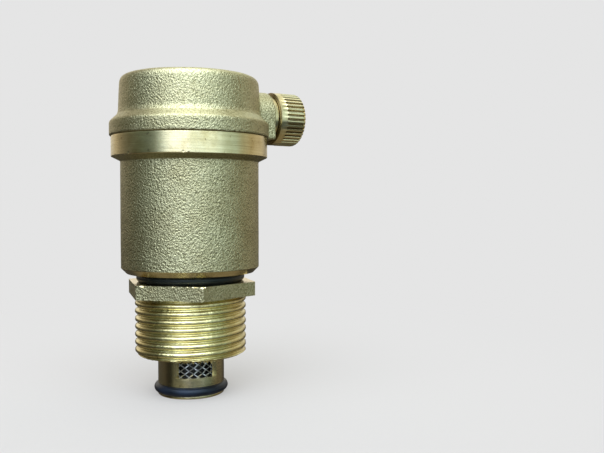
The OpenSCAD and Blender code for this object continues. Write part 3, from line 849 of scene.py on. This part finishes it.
def wire_mesh(paths, wire_r, sides=6):
    """Tubes along paths of points, in mm, for wires that wind about the vertical axis."""
    verts, faces = [], []
    for path in paths:
        base = len(verts)
        count = len(path)
        for i, point in enumerate(path):
            ahead = path[min(i + 1, count - 1)] - path[max(i - 1, 0)]
            side = ahead.cross(Vector((point.x, point.y, 0))).normalized()
            up = side.cross(ahead).normalized()
            for s in range(sides):
                a = TURN * s / sides
                verts.append(tuple(point + side * (wire_r * math.cos(a)) + up * (wire_r * math.sin(a))))
        for i in range(count - 1):
            for s in range(sides):
                a, b = base + i * sides + s, base + i * sides + (s + 1) % sides
                faces.append((a, b, b + sides, a + sides))
        faces.append(tuple(base + s for s in range(sides)))
        faces.append(tuple(base + (count - 1) * sides + s for s in range(sides)))
    return verts, faces


def make_strainer():
    """Woven wires crossing in a diamond pattern."""
    wires = 20
    wire_r = 0.16
    rise_per_turn = wires * 1.8
    height = mesh_top_z - mesh_low_z - 2 * wire_r
    middle_r = mesh_r - 2 * wire_r
    sweep = TURN * height / rise_per_turn
    steps = 96
    paths = []
    for hand in (1, -1):
        for k in range(wires):
            path = []
            for i in range(steps + 1):
                t = i / steps
                a = TURN * k / wires + hand * sweep * t
                weave = hand * math.cos(wires * sweep * t)
                r = middle_r + wire_r * 0.9 * weave
                path.append(Vector((r * math.cos(a), r * math.sin(a), mesh_low_z + wire_r + height * t)))
            paths.append(path)
    shape = wire_mesh(paths, wire_r)
    piece("strainer_weave", shape, [STEEL], "plunger", ["strainer_mesh"])


def cap_outline():
    """Rings of the cap from its inner end to its outer end: (x, plain radius, share of the ridges)."""
    step = 0.06
    band_r = cap_r - step
    ridges_x = band_end_x + step
    round_x = cap_end_x - cap_chamfer
    rings = [(cap_x, cap_r - 0.55, 0), (cap_x + 0.1, cap_r - 0.3, 0), (cap_x + 0.35, band_r, 0)]
    rings += [(band_end_x - step, band_r, 0), (band_end_x, cap_r - step / 2, 0.15), (ridges_x, cap_r, 1)]
    along = 12
    for i in range(1, along):
        rings.append((ridges_x + (round_x - ridges_x) * i / along, cap_r, 1))
    around = 6
    for i in range(around + 1):
        a = math.pi / 2 * i / around
        r = cap_r - cap_chamfer * 0.8 * (1 - math.cos(a))
        rings.append((round_x + cap_chamfer * math.sin(a), r, 1 - (i / around) ** 4))
    rings += [(cap_end_x, cap_r - 1.05, 0), (cap_end_x, cap_r - 2.2, 0)]
    return rings


def make_cap():
    """Screw cap with broad straight ridges, a plain band and a small radial hole."""
    ridges, per_ridge = 38, 14
    segments = ridges * per_ridge
    groove_depth, groove_share = 0.6, 0.38
    crown_rise = 0.06
    outer = cap_outline()
    inner = [
        (cap_end_x, 2.2), (cap_end_x - 0.25, 1.9), (cap_end_x - 0.25, 0), (cap_cavity_x, 0),
        (cap_cavity_x, cap_bore_r), (cap_x + 0.4, cap_bore_r), (cap_x, cap_bore_r + 0.4),
    ]
    verts = []
    for s in range(segments):
        c, d = math.cos(TURN * s / segments), math.sin(TURN * s / segments)
        phase = (s % per_ridge) / per_ridge
        away = min(phase, 1 - phase) * 2
        valley = math.exp(-(away / groove_share) ** 4)
        crown = crown_rise * (1 - math.cos(math.pi * away)) / 2 - crown_rise
        for x, r, share in outer:
            cut_r = r + share * (crown - groove_depth * valley)
            verts.append((cut_r * c, cut_r * d, x))
        verts += [(r * c, r * d, x) for x, r in inner]
    shape = (place(verts, TO_OUTLET), ring_faces(segments, len(outer) + len(inner)))
    sharp = 40
    cap = piece("cap_shell", shape, [TURNED_X, SHADED_AND_SOILED_BRASS], "cap", ["outlet_cap"], sharp)
    flare_r = vent_hole_r + 0.25
    verts, faces = turned([
        (0, 7), (vent_hole_r, 7), (vent_hole_r, cap_r - 0.25), (flare_r, cap_r + 0.1),
        (flare_r, cap_r + 2), (0, cap_r + 2),
    ], 32)
    to_hole = Matrix.Translation((vent_hole_x, 0, outlet_z)) @ Matrix.Rotation(vent_hole_turn, 4, "X")
    boolean(cap, (place(verts, to_hole), faces), "DIFFERENCE")

    # Material 1 is painted shade: the cap's inner chamfer next to the collar and the grooves between the
    # ridges take the dark brass in place of the light they would catch
    def index_at(p, _):
        in_ridges = band_end_x < p.x < cap_end_x - 0.6
        in_groove = cap_r - 0.75 < math.hypot(p.y, p.z - outlet_z) < cap_r - 0.2
        return 1 if p.x < cap_x + 0.36 or in_ridges and in_groove else 0

    paint_faces(cap, index_at)
    smooth(cap, sharp)


def dress_inner_nodes():
    """Materials of the CAD nodes that keep their shape."""
    finishes = {
        "strainer_ring": STEEL, "strainer_core": BLACK_PLASTIC, "check_spring": STEEL,
        "cover_gasket": RUBBER, "outlet_jet": TURNED_X, "jet_oring": RUBBER,
        "lever_bracket": STEEL, "lever_pin": STEEL, "pin_clip": STEEL,
        "valve_lever": STEEL, "valve_pad": RUBBER, "lever_spring": STEEL,
        "float_shell": PLASTIC, "float_lid": PLASTIC, "float_stem": STEEL, "outlet_washer": RUBBER,
    }
    for node, material in finishes.items():
        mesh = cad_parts[node].data
        mesh.materials.clear()
        mesh.materials.append(material)


make_body()
make_cover()
make_nipple()
make_rings()
make_plunger()
make_strainer()
make_cap()
dress_inner_nodes()


# ---------------------------------------------------------------- camera
camera_distance = 0.2215
camera_height = 0.02756
look_right = math.radians(8.76)
look_down = math.radians(1.87)
camera_data = bpy.data.cameras.new("camera")
camera_data.lens = 43.12
camera_data.sensor_width = 36
camera_data.clip_start = 0.01
camera = bpy.data.objects.new("camera", camera_data)
bpy.context.scene.collection.objects.link(camera)
camera.location = (-camera_distance * math.cos(to_axis), -camera_distance * math.sin(to_axis), camera_height)
heading = to_axis - look_right
level = math.cos(look_down)
looking = Vector((math.cos(heading) * level, math.sin(heading) * level, -math.sin(look_down)))
camera.rotation_mode = "QUATERNION"
camera.rotation_quaternion = looking.to_track_quat("-Z", "Y")
bpy.context.scene.camera = camera


# ---------------------------------------------------------------- stage and light
BACKGROUND = (0.783, 0.783, 0.783)


def show_to(obj, camera=True, diffuse=True, glossy=True, shadow=True):
    """Sets which rays see the object."""
    obj.visible_camera = camera
    obj.visible_diffuse = diffuse
    obj.visible_glossy = glossy
    obj.visible_transmission = glossy
    obj.visible_shadow = shadow


def make_floor():
    """Pale floor that fades into the backdrop's tone away from the object."""
    floor_r = 1.6 / MM
    points = circle_points(floor_r, 96)
    mesh = bpy.data.meshes.new("floor")
    mesh.from_pydata([(x * MM, y * MM, floor_z) for x, y in points], [], [tuple(range(len(points)))])
    floor = bpy.data.objects.new("floor", mesh)
    bpy.context.scene.collection.objects.link(floor)
    material, tree, shader = new_material("pale_floor")
    where = object_coordinates(tree)
    shader.inputs["Roughness"].default_value = 0.9
    grain = noise_at(tree, where, 900, 2)
    shade = ramp(tree, grain, [(0.3, (0.465, 0.432, 0.425)), (0.7, (0.479, 0.446, 0.439))])
    tree.links.new(shade, shader.inputs["Base Color"])
    glow = add_node(tree, "ShaderNodeEmission", Color=(*BACKGROUND, 1), Strength=1.0)
    distance = add_node(tree, "ShaderNodeVectorMath", operation="LENGTH")
    tree.links.new(where, distance.inputs[0])
    fade = add_node(tree, "ShaderNodeMapRange", interpolation_type="SMOOTHSTEP")
    fade.inputs["From Min"].default_value = 0.03
    fade.inputs["From Max"].default_value = 0.20
    fade.inputs["To Min"].default_value = 0.45
    fade.inputs["To Max"].default_value = 1.0
    tree.links.new(distance.outputs["Value"], fade.inputs["Value"])
    blend = tree.nodes.new("ShaderNodeMixShader")
    tree.links.new(fade.outputs["Result"], blend.inputs["Fac"])
    tree.links.new(shader.outputs["BSDF"], blend.inputs[1])
    tree.links.new(glow.outputs["Emission"], blend.inputs[2])
    tree.links.new(blend.outputs["Shader"], tree.nodes["Material Output"].inputs["Surface"])
    mesh.materials.append(material)
    show_to(floor, glossy=False)


def make_backdrop():
    """Pale dome behind everything, seen by the camera alone."""
    bpy.ops.mesh.primitive_uv_sphere_add(segments=48, ring_count=24, radius=3)
    dome = bpy.context.object
    dome.name = "backdrop"
    material = bpy.data.materials.new("pale_backdrop")
    material.use_nodes = True
    tree = material.node_tree
    tree.nodes.remove(tree.nodes["Principled BSDF"])
    glow = add_node(tree, "ShaderNodeEmission", Color=(*BACKGROUND, 1), Strength=1.0)
    tree.links.new(glow.outputs["Emission"], tree.nodes["Material Output"].inputs["Surface"])
    dome.data.materials.append(material)
    show_to(dome, diffuse=False, glossy=False, shadow=False)


def dot_with(tree, vector, direction):
    """Dot product of a socket and a fixed direction."""
    node = add_node(tree, "ShaderNodeVectorMath", operation="DOT_PRODUCT")
    tree.links.new(vector, node.inputs[0])
    node.inputs[1].default_value = direction
    return node.outputs["Value"]


def math_node(tree, operation, first, second=None):
    """Result of a sum, where each value is a float or a socket."""
    node = add_node(tree, "ShaderNodeMath", operation=operation)
    for socket, value in zip(node.inputs, (first, second)):
        if isinstance(value, float):
            socket.default_value = value
        elif value is not None:
            tree.links.new(value, socket)
    return node.outputs["Value"]


def make_room():
    """Light and reflections of a room: a bright window in front, a dark wall at its left.

    Bearings count from the camera's direction as seen from the object, in degrees, to the right.
    """
    world = bpy.data.worlds.new("room")
    bpy.context.scene.world = world
    world.use_nodes = True
    tree = world.node_tree
    looked = add_node(tree, "ShaderNodeTexCoord").outputs["Generated"]
    ahead = Vector((-math.cos(to_axis), -math.sin(to_axis), 0))
    right = Vector((math.sin(to_axis), -math.cos(to_axis), 0))
    bearing = math_node(tree, "ARCTAN2", dot_with(tree, looked, right), dot_with(tree, looked, ahead))
    up = dot_with(tree, looked, Vector((0, 0, 1)))
    # The left wall's bands lean from the horizon up to a height of 0.12
    middle, lowest, highest, steepness = 0.09, -0.09, 0.03, 5.0
    climb = math_node(tree, "MAXIMUM", math_node(tree, "SUBTRACT", up, middle), lowest)
    climb = math_node(tree, "MINIMUM", climb, highest)
    sine = math_node(tree, "SINE", bearing)
    leftward = math_node(tree, "MAXIMUM", math_node(tree, "MULTIPLY", sine, -1.0), 0.0)
    lean = math_node(tree, "MULTIPLY", math_node(tree, "MULTIPLY", climb, leftward), steepness)
    leaned = math_node(tree, "ADD", bearing, lean)
    around = math_node(tree, "ADD", math_node(tree, "DIVIDE", leaned, TURN), 0.5)
    walls = [
        (-180, (0.34, 0.31, 0.26)), (-150, (0.285, 0.26, 0.215)), (-132, (0.265, 0.23, 0.175)),
        (-118, (0.115, 0.10, 0.075)), (-98, (0.060, 0.060, 0.046)), (-68, (0.056, 0.070, 0.055)),
        (-53, (0.062, 0.080, 0.072)), (-45, (0.11, 0.138, 0.132)), (-37, (0.30, 0.36, 0.375)),
        (-30, (0.61, 0.70, 0.78)), (-23, (0.73, 0.82, 0.94)), (-2, (0.75, 0.84, 0.98)),
        (0, (0.58, 0.69, 0.74)), (30, (0.57, 0.68, 0.71)), (43, (0.41, 0.505, 0.51)),
        (54, (0.26, 0.325, 0.30)), (70, (0.20, 0.25, 0.225)), (80, (0.18, 0.19, 0.148)),
        (100, (0.205, 0.182, 0.13)), (130, (0.25, 0.22, 0.17)), (150, (0.17, 0.155, 0.13)),
        (180, (0.34, 0.31, 0.26)),
    ]
    wall = ramp(tree, around, [(angle / 360 + 0.5, colour) for angle, colour in walls])
    height = math_node(tree, "ADD", math_node(tree, "MULTIPLY", up, 0.5), 0.5)
    front_levels = [
        (0.0, 0.03), (0.25, 0.05), (0.38, 0.06), (0.42, 0.08), (0.46, 0.06), (0.50, 0.125), (0.54, 0.61),
        (0.61, 0.95), (0.70, 0.66), (0.85, 0.55), (1.0, 0.45),
    ]
    side_levels = [
        (0.0, 0.05), (0.25, 0.07), (0.38, 0.10), (0.41, 0.31), (0.46, 0.62), (0.50, 0.80), (0.54, 0.60),
        (0.61, 0.54), (0.85, 0.55), (1.0, 0.45),
    ]
    front = ramp(tree, height, [(position, (value, value, value)) for position, value in front_levels])
    side = ramp(tree, height, [(position, (value, value, value)) for position, value in side_levels])
    sideways = math_node(tree, "POWER", math_node(tree, "MAXIMUM", sine, 0.0), 2.0)
    lit = mixed(tree, 1.0, wall, mixed(tree, sideways, front, side), "MULTIPLY")
    # Round soft lamps: bearing, height, outer and inner angle in degrees, and colour
    lamps = [
        (-18, 62, 47, 20, (0.72, 0.78, 0.83)),
        (-42, -40, 36, 10, (0.055, 0.055, 0.042)),
        (150, 58, 42, 16, (0.15, 0.17, 0.15)),
        (0, -90, 62, 40, (0.045, 0.037, 0.022)),
    ]
    for turn, rise, edge, core, colour in lamps:
        turn, rise = math.radians(turn), math.radians(rise)
        level = ahead * math.cos(turn) + right * math.sin(turn)
        lamp = level * math.cos(rise) + Vector((0, 0, math.sin(rise)))
        glow = add_node(tree, "ShaderNodeMapRange", interpolation_type="SMOOTHSTEP")
        glow.inputs["From Min"].default_value = math.cos(math.radians(edge))
        glow.inputs["From Max"].default_value = math.cos(math.radians(core))
        tree.links.new(dot_with(tree, looked, lamp), glow.inputs["Value"])
        shine = ramp(tree, glow.outputs["Result"], [(0.0, (0, 0, 0)), (1.0, colour)])
        lit = mixed(tree, 1.0, lit, shine, "ADD")
    background = tree.nodes["Background"]
    background.inputs["Strength"].default_value = 4.0
    tree.links.new(lit, background.inputs["Color"])


make_floor()
make_backdrop()
make_room()
bpy.context.scene.view_settings.view_transform = "Standard"
